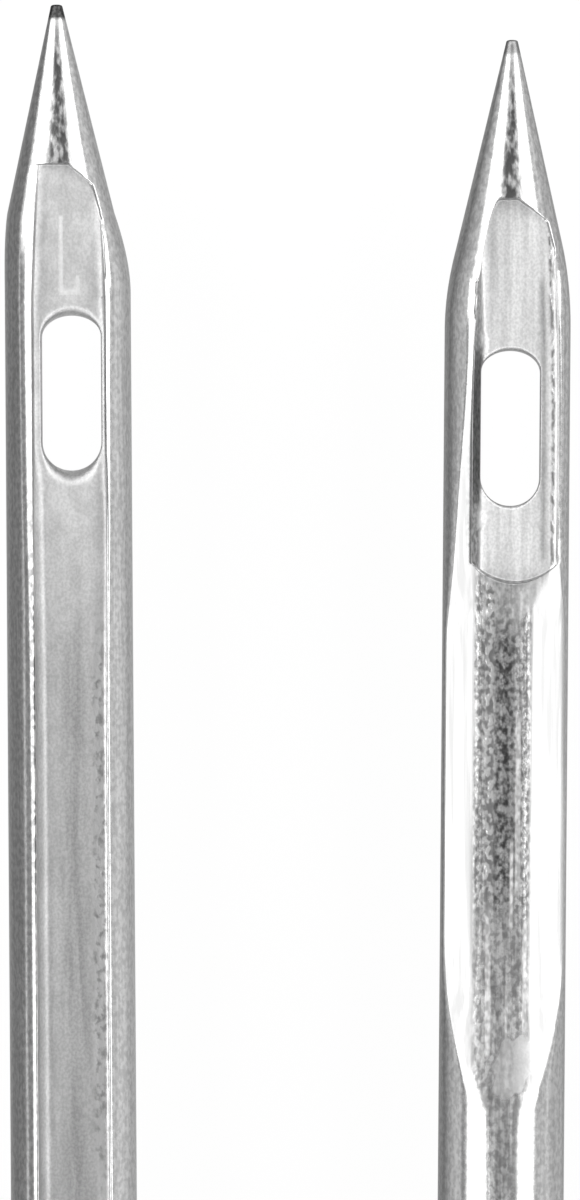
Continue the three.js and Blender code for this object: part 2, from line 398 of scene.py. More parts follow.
@dataclass
class LongGroove(ThreadGroove):
    """The front groove, from the shoulder to past the eye."""

    half_width: float = 0.2225
    land_height: float = 0.195
    cut_side: float = 1.0
    lean_places: Row = (33.4, 34.1)
    left_leans: Row = (0.012, 0.012)
    right_leans: Row = (0.004, 0.012)
    wall_shade_shares: Pair = (0.35, 1.0)
    right_lip_beads: float = 0.25
    lip_places: Row = (31.5, 33.2, 33.9, 34.9, 35.15, 35.65)
    lip_widths: Row = (0.04, 0.048, 0.07, 0.1, 0.1, 0.072)
    narrowing_places: Row = (32.7, 33.6, 34.92, 35.21, 35.715)
    narrowing: Row = (0.01, 0.0, 0.0, 0.012, 0.037)
    shoulder_end: float = 14.6
    shoulder_height: float = 1.0
    runout_start: float = 15.2
    runout_length: float = 1.5
    runout_height: float = 0.405
    deep_height: float = 0.115
    ramp_length: float = 4.0
    land_start: float = 33.6
    deep_corners: tuple[Pair, Pair] = ((0.06, 0.05), (0.015, 0.008))
    corner_change: Pair = (33.7, 34.1)
    pits: Pair = (0.11, 0.15)
    pits_ends: Pair = (29.2, 33.2)
    pits_fades: Pair = (1.0, 0.5)
    bead_line: float = 0.2
    bead_width: float = 0.03
    bead_share: float = 0.3
    shade_middle: float = 0.03
    shade_width: float = 0.15
    shade_least: float = 0.35
    shade_ends: Pair = (32.5, 33.8)

    def line(self, y: Array) -> Array:
        """Height of the floor: from the shoulder's run-out down to full depth and up to the land.

        Args:
            y: Places along the needle.

        Returns:
            The height at each place.
        """
        places, heights = zip(
            (self.shoulder_end, self.shoulder_height),
            (self.runout_start, self.runout_height),
            (self.runout_start + self.runout_length, self.deep_height),
            (self.land_start - self.ramp_length, self.deep_height),
            (self.land_start, self.land_height),
        )
        return np.interp(y, places, heights)

    def corner(self, x: Array, y: Array) -> tuple[Array, Array]:
        """Width and height of the corner, which differ between the sides where the groove is deep.

        Args:
            x: Places across the needle.
            y: Places along the needle.

        Returns:
            The width and the height at each place.
        """
        share = ease(y, *self.corner_change)
        deep = (np.where(x < self.offset, *sizes) for sizes in zip(*self.deep_corners))
        width, height = (size + (land - size) * share for size, land in zip(deep, self.land_corner))
        return width, height

    def painted_shade_mask(self, x: Array, y: Array) -> Array:
        """Mask of the painted shade that darkens the floor below the land, darkest along its middle."""
        middle = band(x, self.shade_middle, 0.0, self.shade_width)
        return (self.shade_least + (1.0 - self.shade_least) * middle) * (1.0 - ease(y, *self.shade_ends))

    def pitted(self, y: Array) -> Array:
        """Mask of the length where the groove's right side is pitted."""
        return span(y, *self.pits_ends, *self.pits_fades)

    def pits_mask(self, x: Array, y: Array) -> Array:
        """Mask of the sparse pits along the right side of the floor."""
        return ease(x, *self.pits) * self.pitted(y)

    def beads(self, x: Array, y: Array) -> Array:
        """Mask of the row of bright beads at the foot of the right wall."""
        return self.bead_share * self.pitted(y) * band(x, self.bead_line, 0.0, self.bead_width)


@dataclass
class ShortGroove(ThreadGroove):
    """The back groove round the eye, which ends in a bow at the scarf's step."""

    half_width: float = 0.259
    land_height: float = 0.165
    cut_side: float = -1.0
    land_corner: Pair = (0.05, 0.008)
    right_leans: Row = (0.057, 0.03, 0.012)
    wall_shade_heights: Pair = (0.005, 0.03)
    steepest_lip: float = 0.65
    lip_shares: Pair = (0.8, 0.6)
    curve: float = 30.0
    near_steepness: float = 4.0
    bead_line: float = 0.036
    bead_width: float = 0.022
    shade_line: float = 0.09
    shade_width: float = 0.035
    shade_ends: Pair = (33.5, 35.3)
    open_end: float = 33.455
    bow: float = 0.11
    bow_bend: Pair = (33.15, 33.72)

    def near_end(self, x: Array) -> Array:
        """Where the groove ends at the scarf: a parabola across, nearest to the butt in its middle."""
        return self.open_end + self.bow * np.clip((x - self.offset) / self.half_width, -1.0, 1.0) ** 2

    def floor(self, x: Array, y: Array) -> Array:
        """Height of the floor, which climbs steeply past both ends."""
        return super().floor(x, y) + self.near_steepness * np.maximum(self.near_end(x) - y, 0.0)

    def row_shift(self, x: Array, y: Array) -> Array:
        """How far the grid's rings bend along the needle to follow both ends."""
        bend = tent(y, self.bow_bend[0], self.open_end, self.bow_bend[1])
        return super().row_shift(x, y) + (self.near_end(x) - self.open_end) * bend

    def beads(self, x: Array, y: Array) -> Array:
        """Mask of the row of bright beads inside the groove's left wall."""
        return band(x, self.offset - self.half(y) + self.bead_line, 0.0, self.bead_width)

    def painted_shade_mask(self, x: Array, y: Array) -> Array:
        """Mask of the dull band between the eye and the beads, painted darker as shade."""
        line = self.offset - self.half(y) + self.shade_line
        return span(y, *self.shade_ends, self.bow, self.bow) * band(x, line, 0.0, self.shade_width)


@dataclass(frozen=True)
class Streak:
    """A light line along the scarf's strip."""

    middle: float
    half_width: float
    start: float
    end: float
    fade: float = 0.08
    core_share: float = 0.3

    def mask(self, x: Array, y: Array) -> Array:
        """Mask of the line, which fades across it and towards its ends."""
        across = band(x, self.middle, self.core_share * self.half_width, self.half_width)
        return across * span(y, self.start, self.end, self.fade, self.fade)


@dataclass(frozen=True)
class Flake:
    """A pale flake where the grinding left the skin of the wire, with a slanting outline."""

    middle: Pair = (-0.065, 30.57)
    half_width: float = 0.14
    half_length: float = 0.19
    slant: float = -0.55
    edge: Pair = (0.9, 1.05)
    waves: tuple[int, int] = (3, 8)
    wave_height: float = 0.09
    strength: float = 0.7

    def mask(self, x: Array, y: Array) -> Array:
        """Mask of the flake: an ellipse that leans along the needle, with waves round its outline.

        Args:
            x: Places across the needle.
            y: Places along the needle.

        Returns:
            The mask.
        """
        across = (x - self.middle[0]) / self.half_width
        along = (y - self.middle[1] - self.slant * (x - self.middle[0])) / self.half_length
        angle = np.arctan2(along, across)
        wave = self.wave_height * sum(np.cos(count * angle) for count in self.waves)
        return self.strength * (1.0 - ease(np.hypot(across, along) + wave, *self.edge))


@dataclass
class Scarf:
    """The crowned flat ground across the back: a slight ramp and a step from the eye, and a ramp out."""

    exit_top: float = 30.315
    exit_ramp: float = 0.88
    flat: float = 1.955
    step_length: float = 0.35
    entry_ramp: float = 1.77
    floor: float = 0.2
    step_height: float = 0.06
    blade_radius: float = 0.375
    crown: float = 0.109
    offset: float = 0.015
    blend: float = 0.22
    edge_rounding: float = 0.02
    strip: Pair = (0.135, 0.175)
    funnel_places: Row = (33.05, 33.22, 33.5)
    funnel_widths: Row = (0.12, 0.15, 0.3)
    funnel_left: float = 0.15
    funnel_fade: float = 0.06
    funnel_start: Pair = (33.02, 33.26)
    funnel_share: float = 0.8
    core_middle: float = 0.012
    core: Pair = (0.02, 0.085)
    wire_core: Pair = (0.06, 0.11)
    chain_middle: float = 0.09
    chain: Pair = (0.014, 0.036)
    pitted_ends: Pair = (31.4, 33.46)
    pitted_fades: Pair = (0.22, 0.03)
    streaks: tuple[Streak, ...] = (
        Streak(0.092, 0.02, 30.6, 32.0),
        Streak(-0.02, 0.012, 30.4, 31.1),
        Streak(-0.045, 0.014, 31.35, 31.95),
        Streak(-0.08, 0.018, 31.55, 32.7),
        Streak(-0.128, 0.014, 30.75, 31.45),
    )
    flake: Flake = Flake()

    def __post_init__(self) -> None:
        """Works out the places of the ramps and the radius of the crowned floor."""
        self.exit_foot = self.exit_top + self.exit_ramp
        self.step_foot = self.exit_foot + self.flat
        self.step_top = self.step_foot + self.step_length
        self.radius = (self.blade_radius**2 + self.crown**2) / (2 * self.crown)

    def height(self, x: Array, y: Array) -> Array:
        """Circle across the needle under a crest line along it.

        The crest joins the exit ramp, the floor, the step and the entry ramp, each a straight line,
        blended by the same parabola as a soft minimum.

        Args:
            x: Places across the needle.
            y: Places along the needle.

        Returns:
            The height of the ground surface, which lies above the blade where there is no scarf.
        """
        depth = self.blade_radius - self.floor
        exit_line = (self.exit_foot - y) * depth / self.exit_ramp
        step_line = (y - self.step_foot) * self.step_height / self.step_length
        entry_slope = (depth - self.step_height) / self.entry_ramp
        entry_line = self.step_height + (y - self.step_top) * entry_slope
        rise = soft_min(step_line, entry_line, self.edge_rounding)
        foot = -soft_min(-exit_line, np.zeros_like(y), self.blend * depth / self.exit_ramp)
        crest = self.floor - soft_min(-foot, -rise, self.edge_rounding)
        fall = self.radius - np.sqrt(np.maximum(self.radius**2 - (x - self.offset) ** 2, 0.0))
        return crest - fall

    def strip_mask(self, x: Array, ground: Array) -> Array:
        """Mask of the streaked strip along the scarf, and of the wire's narrower one beyond it."""
        on_wire = band(x, self.offset, *self.wire_core)
        return np.maximum(ground * band(x, self.offset, *self.strip), on_wire)

    def funnel_mask(self, x: Array, y: Array) -> Array:
        """Mask of the strip's smooth, dull end, which opens like a funnel towards the step and is
        painted darker as shade.

        Args:
            x: Places across the needle.
            y: Places along the needle.

        Returns:
            The mask.
        """
        right = np.interp(y, self.funnel_places, self.funnel_widths) + x - self.offset
        inside = np.minimum(right, self.funnel_left + self.offset - x)
        return self.funnel_share * ease(inside, 0.0, self.funnel_fade) * ease(y, *self.funnel_start)

    def pitted(self, y: Array) -> Array:
        """Mask of the length where the strip is darkest and most pitted."""
        return span(y, *self.pitted_ends, *self.pitted_fades)

    def core_mask(self, x: Array, y: Array) -> Array:
        """Mask of the dark core along the middle of the strip."""
        return self.pitted(y) * band(x, self.core_middle, *self.core)

    def chain_mask(self, x: Array, y: Array) -> Array:
        """Mask of the chain of bright spots along one side of the strip."""
        return self.pitted(y) * band(x, self.chain_middle, *self.chain)

    def streak_mask(self, x: Array, y: Array) -> Array:
        """Mask of the light lines along the strip."""
        return np.max([streak.mask(x, y) for streak in self.streaks], axis=0)


@dataclass
class Eye:
    """The eye: a slot with round ends through both floors, whose rims round off widest at its ends."""

    near_end: float = 33.9
    length: float = 0.925
    width: float = 0.355
    offset: float = 0.0
    end_heights: Pair = (0.17, 0.13)
    window_half_width: float = 0.2
    window_start: float = 33.75
    window_end: float = 34.94
    front_rims: Row = (0.012, 0.115, 0.07)
    back_rims: Row = (0.008, 0.03, 0.035)
    rim_depth_share: float = 1.15
    rim_power: float = 3.0
    widest_rim: float = 0.9
    approach_steps: int = 3
    rim_steps: int = 8
    throat_steps: int = 6

    def __post_init__(self) -> None:
        """Works out half the eye's width and where its straight sides start and end."""
        self.radius = self.width / 2
        self.straight_start = self.near_end + self.end_heights[0]
        self.straight_end = self.near_end + self.length - self.end_heights[1]

    def outline(self, window: Array) -> tuple[Array, Array]:
        """Points of the slot's outline: straight sides between two half ellipses.

        Args:
            window: Points (x, y) round the eye.

        Returns:
            The outline's points in the window's directions, and its outward directions there.
        """
        spine_y = np.clip(window[:, 1], self.straight_start, self.straight_end)
        spine = np.stack([np.full_like(spine_y, self.offset), spine_y], axis=1)
        heights = np.where(window[:, 1] < spine_y, *self.end_heights)
        radii = np.stack([np.full_like(heights, self.radius), heights], axis=1)
        unit = (window - spine) / radii
        unit /= np.linalg.norm(unit, axis=1, keepdims=True)
        outward = unit / radii
        outward /= np.linalg.norm(outward, axis=1, keepdims=True)
        return spine + unit * radii, outward

    def rim(self, outward: Array, widths: Row) -> Array:
        """Width of the rim's rounding, which grows from the sides to the two ends.

        Args:
            outward: Outward directions of the outline.
            widths: Width at the sides, at the end nearer the butt and at the end nearer the point.

        Returns:
            The width at each point.
        """
        near = np.maximum(-outward[:, 1], 0.0) ** self.rim_power
        far = np.maximum(outward[:, 1], 0.0) ** self.rim_power
        return widths[0] + (widths[1] - widths[0]) * near + (widths[2] - widths[0]) * far

    def rings(self, window: Array, widths: Row) -> tuple[Array, Array, Array]:
        """Rings from the window to the outline: even steps up to the rim, then even angles round it.

        Args:
            window: Points (x, y) of the window round the eye.
            widths: Rim widths at the sides and at the two ends.

        Returns:
            The rings' points, how far the rim lowers each, and a mask of the rim.
        """
        outline, outward = self.outline(window)
        far = np.linalg.norm(window - outline, axis=1)
        width = np.minimum(self.rim(outward, widths), self.widest_rim * far)
        along = (window - outline) / far[:, None]
        approach = np.arange(1, self.approach_steps)[:, None] / self.approach_steps
        turn = np.linspace(0.0, math.pi / 2, self.rim_steps + 1)[:, None]
        distance = np.concatenate([far + (width - far) * approach, width * (1.0 - np.sin(turn))])
        drop = width * self.rim_depth_share * (1.0 - np.cos(turn))
        drop = np.concatenate([np.zeros_like(approach) * width, drop])
        mask = np.concatenate([np.zeros_like(approach), np.sin(turn)]) * np.ones_like(width)
        return outline + along * distance[:, :, None], drop, mask


def new_object(name: str, data: bpy.types.ID) -> bpy.types.Object:
    """Makes an object and links it to the scene.

    Args:
        name: Name of the object.
        data: Its mesh, lamp or camera.

    Returns:
        The object.
    """
    made = bpy.data.objects.new(name, data)
    bpy.context.scene.collection.objects.link(made)
    return made


def ring_quads(number: Array) -> Array:
    """Quads between rows of point numbers, each of them a closed ring."""
    following = np.roll(number, -1, axis=1)
    return np.stack([number[:-1], following[:-1], following[1:], number[1:]], axis=-1)


@dataclass
class SteelSurface:
    """Vertices, finish masks and faces of one needle, in its own frame."""

    points: Array
    masks: Array
    quads: Array
    triangles: Array

    def without_loose_points(self) -> "SteelSurface":
        """Drops the points that no face uses.

        Returns:
            The surface with its faces renumbered.
        """
        used, number = np.unique(
            np.concatenate([self.quads.ravel(), self.triangles.ravel()]), return_inverse=True
        )
        split = self.quads.size
        quads, triangles = number[:split].reshape(-1, 4), number[split:].reshape(-1, 3)
        return SteelSurface(self.points[used], self.masks[used], quads, triangles)


@dataclass
class DieMark:
    """The light mark that the eye's die left on the front land: a long line, a short one and a bow."""

    left: float = -0.037
    right: float = 0.06
    start: float = 34.965
    long_end: float = 35.4
    short_end: float = 35.05
    width: float = 0.016
    core_share: float = 0.3

    def mask(self, x: Array, y: Array) -> Array:
        """Mask of the three strokes, each fading over its width.

        Args:
            x: Places across the needle.
            y: Places along the needle.

        Returns:
            The mask.
        """
        long_line = np.hypot(x - self.left, y - np.clip(y, self.start, self.long_end))
        short_line = np.hypot(x - self.right, y - np.clip(y, self.start, self.short_end))
        bow = np.hypot(x - np.clip(x, self.left, self.right), y - self.start)
        nearest = np.minimum(np.minimum(long_line, short_line), bow)
        return 1.0 - ease(nearest, self.core_share * self.width, self.width)


@dataclass
class Needle:
    """One machine needle, a single piece of steel, laid down where its CAD node lies."""

    node: str
    mount: str
    turn: float = 0.0
    body: RoundBody = field(default_factory=RoundBody)
    long_groove: LongGroove = field(default_factory=LongGroove)
    short_groove: ShortGroove = field(default_factory=ShortGroove)
    scarf: Scarf = field(default_factory=Scarf)
    eye: Eye = field(default_factory=Eye)
    die_mark: DieMark = field(default_factory=DieMark)
    flank_steps: int = 13
    lip_knee: float = 0.86
    widest_lip: float = 0.98
    crown_steps: int = 6
    corner_step: float = 0.006
    slope_step: float = 0.01
    edge_stiffness: int = 12
    floor_depths: Pair = (0.012, 0.03)
    ground_depths: Pair = (0.001, 0.02)
    tip_blackening: Pair = (0.085, 0.06)
    tip_strength: float = 1.0
    patch_length: float = 0.9
    patch_spread: Pair = (0.16, 0.36)
    patch_start: Pair = (-0.01, 0.02)
    patch_edge: Pair = (0.5, 1.2)
    patch_fade: Pair = (0.7, 1.0)

    def groove(self, side: Side) -> ThreadGroove:
        """The thread groove of one side."""
        return self.long_groove if side is Side.FRONT else self.short_groove

    def ring_places(self) -> Array:
        """Rings along the needle: few on plain lengths, many where the surface turns quickly.

        Returns:
            Rising places from the butt to the cone's end.
        """
        body, groove, scarf, eye = self.body, self.long_groove, self.scarf, self.eye
        chamfer, step, open_end = body.butt_chamfer, self.corner_step, self.short_groove.open_end
        # Where each stretch ends, and in how many steps it gets there.
        stretches = [
            (step, 1), (chamfer - step, 1), (chamfer + step, 1),
            (body.shank_length, 8),
            (body.shoulder_end, 22),
            (groove.runout_start, 2),
            (groove.runout_start + groove.runout_length, 26),
            (groove.land_start - groove.ramp_length, 16),
            (scarf.exit_top, 12),
            (scarf.exit_foot + scarf.blend, 60),
            (scarf.step_foot - scarf.blend, 36),
            (open_end - 4 * step, 36), (open_end + step, 8),
            (eye.window_start, 22),
            (eye.straight_start, 22),
            (eye.straight_end, 20),
            (eye.window_end, 22),
            (body.cone_corner + step, 14),
            (groove.land_end - step, 44), (groove.land_end + 3 * step, 7),
            (body.cone_end, 44),
        ]
        places = [np.zeros(1)]
        for end, steps in stretches:
            places.append(np.linspace(places[-1][-1], end, steps + 1)[1:])
        return np.concatenate(places)

    def columns(self, groove: ThreadGroove, y: Array, r: Array) -> Array:
        """Places across the needle, from its left edge to its right one, for each ring.

        Inside the lips the groove's own columns, counted from the eye's middle, are stretched to the
        edges there. Outside them the columns are even by angle up to the section's widest place.

        Args:
            groove: The groove of this side.
            y: Places of the rings.
            r: Radii of the rings.

        Returns:
            One row of places for each ring.
        """
        eye = self.eye
        offset = self.body.offset(y)
        middle = offset + eye.offset * (1.0 - ease(y, eye.window_end, groove.land_end))
        share = np.arange(1, self.flank_steps + 1) / self.flank_steps

        def half(edge: Array, wall: float, side: float) -> Array:
            """Places from the middle over one lip to one side of the section.

            Args:
                edge: Place of the lip's edge on each ring.
                wall: Place of the wall where the groove is full width.
                side: -1 for the left half, 1 for the right one.

            Returns:
                One row of places for each ring, from the middle outwards.
            """
            reach = side * (wall - eye.offset)
            steps = groove.half_columns(eye.window_half_width, reach) / reach
            inside = middle[:, None] + (edge - middle)[:, None] * steps
            across = self.drawn_in((inside - offset[:, None]) / r[:, None])
            start = np.arcsin(side * across[:, -1:])
            flank = side * np.sin(start + (math.pi / 2 - start) * share)
            return offset[:, None] + r[:, None] * np.concatenate([across, flank], axis=1)

        left, right = groove.lips(y, r, offset)
        left_half = half(left, groove.offset - groove.half_width, -1.0)
        right_half = half(right, groove.offset + groove.half_width, 1.0)
        return np.concatenate([left_half[:, :0:-1], right_half], axis=1)

    def drawn_in(self, across: Array) -> Array:
        """Draws the columns past the knee in.

        Of their distance d past it, with room w there, w times d over the sum of w and d is left.

        Args:
            across: Places across the section as shares of its radius.

        Returns:
            The places, all inside the widest one and still in order.
        """
        past = np.maximum(np.abs(across) - self.lip_knee, 0.0)
        room = self.widest_lip - self.lip_knee
        kept = np.minimum(np.abs(across), self.lip_knee)
        return np.sign(across) * (kept + room * past / (room + past))

    def bent_rows(self, groove: ThreadGroove, x: Array, y: Array, r: Array) -> tuple[Array, Array]:
        """Rings bent to follow the groove's ends, least of all near the sides of the section.

        Args:
            groove: The groove of this side.
            x: Places across the needle.
            y: Places of the rings, as a column.
            r: Radii of the rings, as a column.

        Returns:
            The place along the needle and the radius at each point.
        """
        across = (x - self.body.offset(y)) / r
        freedom = 1.0 - np.minimum(np.abs(across), 1.0) ** self.edge_stiffness
        bent = y + freedom * groove.row_shift(x, y)
        return bent, np.where(y < self.body.cone_end, self.body.radius(bent), r)

    def upper(self, side: Side, x: Array, y: Array, r: Array) -> Array:
        """Surface before the thread groove: the round body, and on the back the scarf as well.

        Args:
            side: The face of the needle.
            x: Places across the needle.
            y: Places along it.
            r: Radius there.

        Returns:
            Heights over the mid plane.
        """
        round_height = self.body.height(x, y, r)
        if side is Side.FRONT:
            return round_height
        return soft_min(round_height, self.scarf.height(x, y), self.scarf.edge_rounding)

    def relief(self, side: Side, x: Array, y: Array, r: Array) -> tuple[Array, Array]:
        """Finished surface of one side and the masks of its finishes.

        Args:
            side: The face of the needle.
            x: Places across the needle.
            y: Places along it.
            r: Radius there.

        Returns:
            Heights over the mid plane, and the masks in the order of the finishes.
        """
        groove, scarf = self.groove(side), self.scarf
        upper = self.upper(side, x, y, r)
        half = groove.half(y)
        outward = np.where(x < groove.offset, -1.0, 1.0)
        wall = groove.offset + outward * half
        at_wall = self.upper(side, wall, y, r)
        fall = (at_wall - self.upper(side, wall + outward * self.slope_step, y, r)) / self.slope_step
        height, lip, steep = groove.cut(upper, at_wall, fall, x, y)
        floor = ease(upper - height, *self.floor_depths) * (np.abs(x - groove.offset) < half)
        ground = ease(self.body.height(x, y, r) - upper, *self.ground_depths) * (1.0 - floor)
        flake = ground * scarf.flake.mask(x, y)
        ground = ground - flake
        masks = {
            Finish.PRESSED if side is Side.FRONT else Finish.PALE: floor + flake,
            # painted shade: on the front the deep floor, on the back a band beside the eye
            Finish.PAINTED_SHADE: floor * groove.painted_shade_mask(x, y),
            Finish.GROUND: ground,
            Finish.BEADS: floor * groove.beads(x, y),
            Finish.LIP: lip,
            # painted shade on the groove's walls
            Finish.WALL: steep,
            Finish.PATCH: self.patch(groove, x, y, r),
            Finish.TIP: self.tip_strength * ease(self.body.cone_end - y, *self.tip_blackening),
        }
        if side is Side.FRONT:
            masks[Finish.DIE] = floor * self.die_mark.mask(x, y)
            masks[Finish.PITS] = floor * groove.pits_mask(x, y)
        else:
            funnel = ground * scarf.funnel_mask(x, y)
            free = (1.0 - floor - flake - funnel) * (y < groove.land_end)
            masks[Finish.STRIP] = scarf.strip_mask(x, ground) * free
            masks[Finish.PITTED] = masks[Finish.STRIP] * ground * scarf.pitted(y)
            masks[Finish.CORE] = (ground - funnel) * scarf.core_mask(x, y)
            masks[Finish.STREAK] = ground * scarf.streak_mask(x, y)
            # the funnel's darker tone is painted shade
            masks[Finish.PAINTED_SHADE] += funnel
            masks[Finish.BEADS] = np.maximum(masks[Finish.BEADS], ground * scarf.chain_mask(x, y))
        return height, finish_masks(height.shape, masks)

    def patch(self, groove: ThreadGroove, x: Array, y: Array, r: Array) -> Array:
        """Mask of the rough patch on the cone: wide at the groove's end, narrow towards the tip.

        Args:
            groove: The groove of this side.
            x: Places across the needle.
            y: Places along it.
            r: Radius there.

        Returns:
            The mask.
        """
        narrow, wide = self.patch_spread
        past = np.clip((y - groove.land_end) / self.patch_length, 0.0, 1.0)
        spread = wide + (narrow - wide) * past
        across = (x - self.body.offset(y)) / np.maximum(r, TINY)
        along = ease(y - groove.land_end, *self.patch_start) * (1.0 - ease(past, *self.patch_fade))
        return along * band(across / spread, 0.0, *self.patch_edge)

    def face_grid(self, side: Side, y: Array, r: Array) -> tuple[Array, Array]:
        """Grid of one side, with its rings bent to follow the ends of its groove.

        Args:
            side: The face of the needle.
            y: Places of the rings.
            r: Radii of the rings.

        Returns:
            The points, ring after ring, and their finish masks.
        """
        groove = self.groove(side)
        x = self.columns(groove, y, r)
        bent_y, bent_r = self.bent_rows(groove, x, y[:, None], r[:, None])
        height, masks = self.relief(side, x, bent_y, bent_r)
        return np.stack([x, bent_y, side.value * height], axis=-1), masks

    def surface(self) -> SteelSurface:
        """Joins the front and back grids, the eye's strip and the two end caps into one closed surface.

        Returns:
            The surface in the needle's own frame.
        """
        body, eye = self.body, self.eye
        y = self.ring_places()
        crown_y, crown_r = body.crown(self.crown_steps)
        r = np.concatenate([body.radius(y), crown_r])
        y = np.concatenate([y, crown_y])
        faces = [self.face_grid(side, y, r) for side in (Side.FRONT, Side.BACK)]
        grid_points, grid_masks = (
            np.concatenate([front, back[:, -2:0:-1]], axis=1) for front, back in zip(*faces)
        )
        rows, around = grid_points.shape[:2]
        grid_points, grid_masks = grid_points.reshape(-1, 3), grid_masks.reshape(-1, len(Finish))
        number = np.arange(rows * around).reshape(rows, around)

        middle = around // 4
        j0, j1 = middle - self.long_groove.floor_steps, middle + self.long_groove.floor_steps
        i0, i1 = np.searchsorted(y, [eye.window_start - TINY, eye.window_end - TINY])
        keep = np.ones((rows - 1, around), dtype=bool)
        keep[i0:i1, j0:j1] = False
        keep[i0:i1, around - j1:around - j0] = False

        ring_i = np.concatenate([
            np.full(j1 - j0, i0), np.arange(i0, i1), np.full(j1 - j0, i1), np.arange(i1, i0, -1),
        ])
        ring_j = np.concatenate([
            np.arange(j0, j1), np.full(i1 - i0, j1), np.arange(j1, j0, -1), np.full(i1 - i0, j0),
        ])
        front_ring, back_ring = number[ring_i, ring_j], number[ring_i, around - ring_j]
        windows = (grid_points[ring, :2] for ring in (front_ring, back_ring))
        strip_points, strip_masks = self.eye_strip(*windows)
        steps, ring_size = strip_points.shape[:2]
        strip_number = number.size + np.arange(steps * ring_size).reshape(steps, ring_size)
        strip = np.concatenate([front_ring[None], strip_number, back_ring[None]])

        butt = number.size + strip_number.size
        point = butt + 1
        tip_x = float(body.offset(np.array(body.butt_to_tip)))
        poles = np.array([[0.0, 0.0, 0.0], [tip_x, body.butt_to_tip, 0.0]])
        first, last = number[0], number[-1]
        butt_fan = np.stack([np.full(around, butt), np.roll(first, -1), first], axis=-1)
        tip_fan = np.stack([np.full(around, point), last, np.roll(last, -1)], axis=-1)
        pole_masks = finish_masks((2,), {Finish.TIP: np.array([0.0, self.tip_strength])})
        return SteelSurface(
            np.concatenate([grid_points, strip_points.reshape(-1, 3), poles]),
            np.concatenate([grid_masks, strip_masks.reshape(-1, len(Finish)), pole_masks]),
            np.concatenate([ring_quads(number)[keep], ring_quads(strip).reshape(-1, 4)]),
            np.concatenate([butt_fan, tip_fan]),
        ).without_loose_points()

    def eye_strip(self, front_window: Array, back_window: Array) -> tuple[Array, Array]:
        """Strip from the front window over the front rim, through the throat and over the back rim.

        Args:
            front_window: Points (x, y) of the front window, in order.
            back_window: The back window's points, in the same order.

        Returns:
            The strip's points, ring after ring, and their finish masks.
        """
        eye = self.eye

        def face(side: Side, window: Array, widths: Row) -> tuple[Array, Array]:
            """Rings of one face, from its window inwards.

            Args:
                side: The face of the needle.
                window: Points (x, y) of its window.
                widths: Rim widths at the sides and at the two ends.

            Returns:
                The rings' points and their finish masks.
            """
            places, drop, rim = eye.rings(window, widths)
            x, y = places[..., 0], places[..., 1]
            height, masks = self.relief(side, x, y, self.body.radius(y))
            masks[..., list(Finish).index(Finish.RIM)] = rim
            return np.stack([x, y, side.value * (height - drop)], axis=-1), masks

        front, front_masks = face(Side.FRONT, front_window, eye.front_rims)
        back, back_masks = face(Side.BACK, back_window, eye.back_rims)
        share = np.arange(1, eye.throat_steps)[:, None, None] / eye.throat_steps
        throat = front[-1] + (back[-1] - front[-1]) * share
        throat_masks = finish_masks(throat.shape[:2], {Finish.RIM: np.ones(throat.shape[:2])})
        points = np.concatenate([front, throat, back[::-1]])
        return points, np.concatenate([front_masks, throat_masks, back_masks[::-1]])

    def laid_down(self, points: Array) -> Array:
        """Turns the needle about its axis and lays it along its mount's, with its butt on the mount.

        Args:
            points: Points in the needle's own frame, in millimetres.

        Returns:
            The points in the shared frame, in metres.
        """
        mount = next(m for m in frame["record"]["mounts"] if m["name"] == self.mount)
        along = -np.array(mount["axis"])
        up = np.array([0.0, 0.0, 1.0])
        across = np.cross(along, up)
        turn = math.radians(self.turn)
        x, y, z = points.T
        sideways = x * math.cos(turn) + z * math.sin(turn)
        upwards = z * math.cos(turn) - x * math.sin(turn)
        laid = sideways[:, None] * across + y[:, None] * along + upwards[:, None] * up
        return np.array(mount["pos_m"]) + MM * laid

    def build(self) -> bpy.types.Object:
        """Puts the surface into a mesh object that rides on the part and stands for its CAD node.

        Returns:
            The new object.
        """
        made = self.surface()
        mesh = bpy.data.meshes.new(self.node + "_steel")
        mesh.vertices.add(len(made.points))
        mesh.vertices.foreach_set("co", self.laid_down(made.points).astype(np.float32).ravel())
        corners = np.concatenate([made.quads.ravel(), made.triangles.ravel()])
        starts = np.concatenate([
            4 * np.arange(len(made.quads)), made.quads.size + 3 * np.arange(len(made.triangles)),
        ])
        mesh.loops.add(len(corners))
        mesh.loops.foreach_set("vertex_index", corners.astype(np.int32))
        mesh.polygons.add(len(starts))
        mesh.polygons.foreach_set("loop_start", starts.astype(np.int32))
        mesh.polygons.foreach_set("use_smooth", np.ones(len(starts), dtype=bool))
        mesh.update(calc_edges=True)
        for finish, mask in zip(Finish, made.masks.T):
            attribute = mesh.attributes.new(finish.value, "FLOAT", "POINT")
            attribute.data.foreach_set("value", np.ascontiguousarray(mask, dtype=np.float32))
        piece = new_object(mesh.name, mesh)
        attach(piece, BODY)
        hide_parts(self.node)
        return piece

    def dress(self, piece: bpy.types.Object, steel: bpy.types.Material) -> None:
        """Gives the needle its steel."""
        piece.data.materials.append(steel)


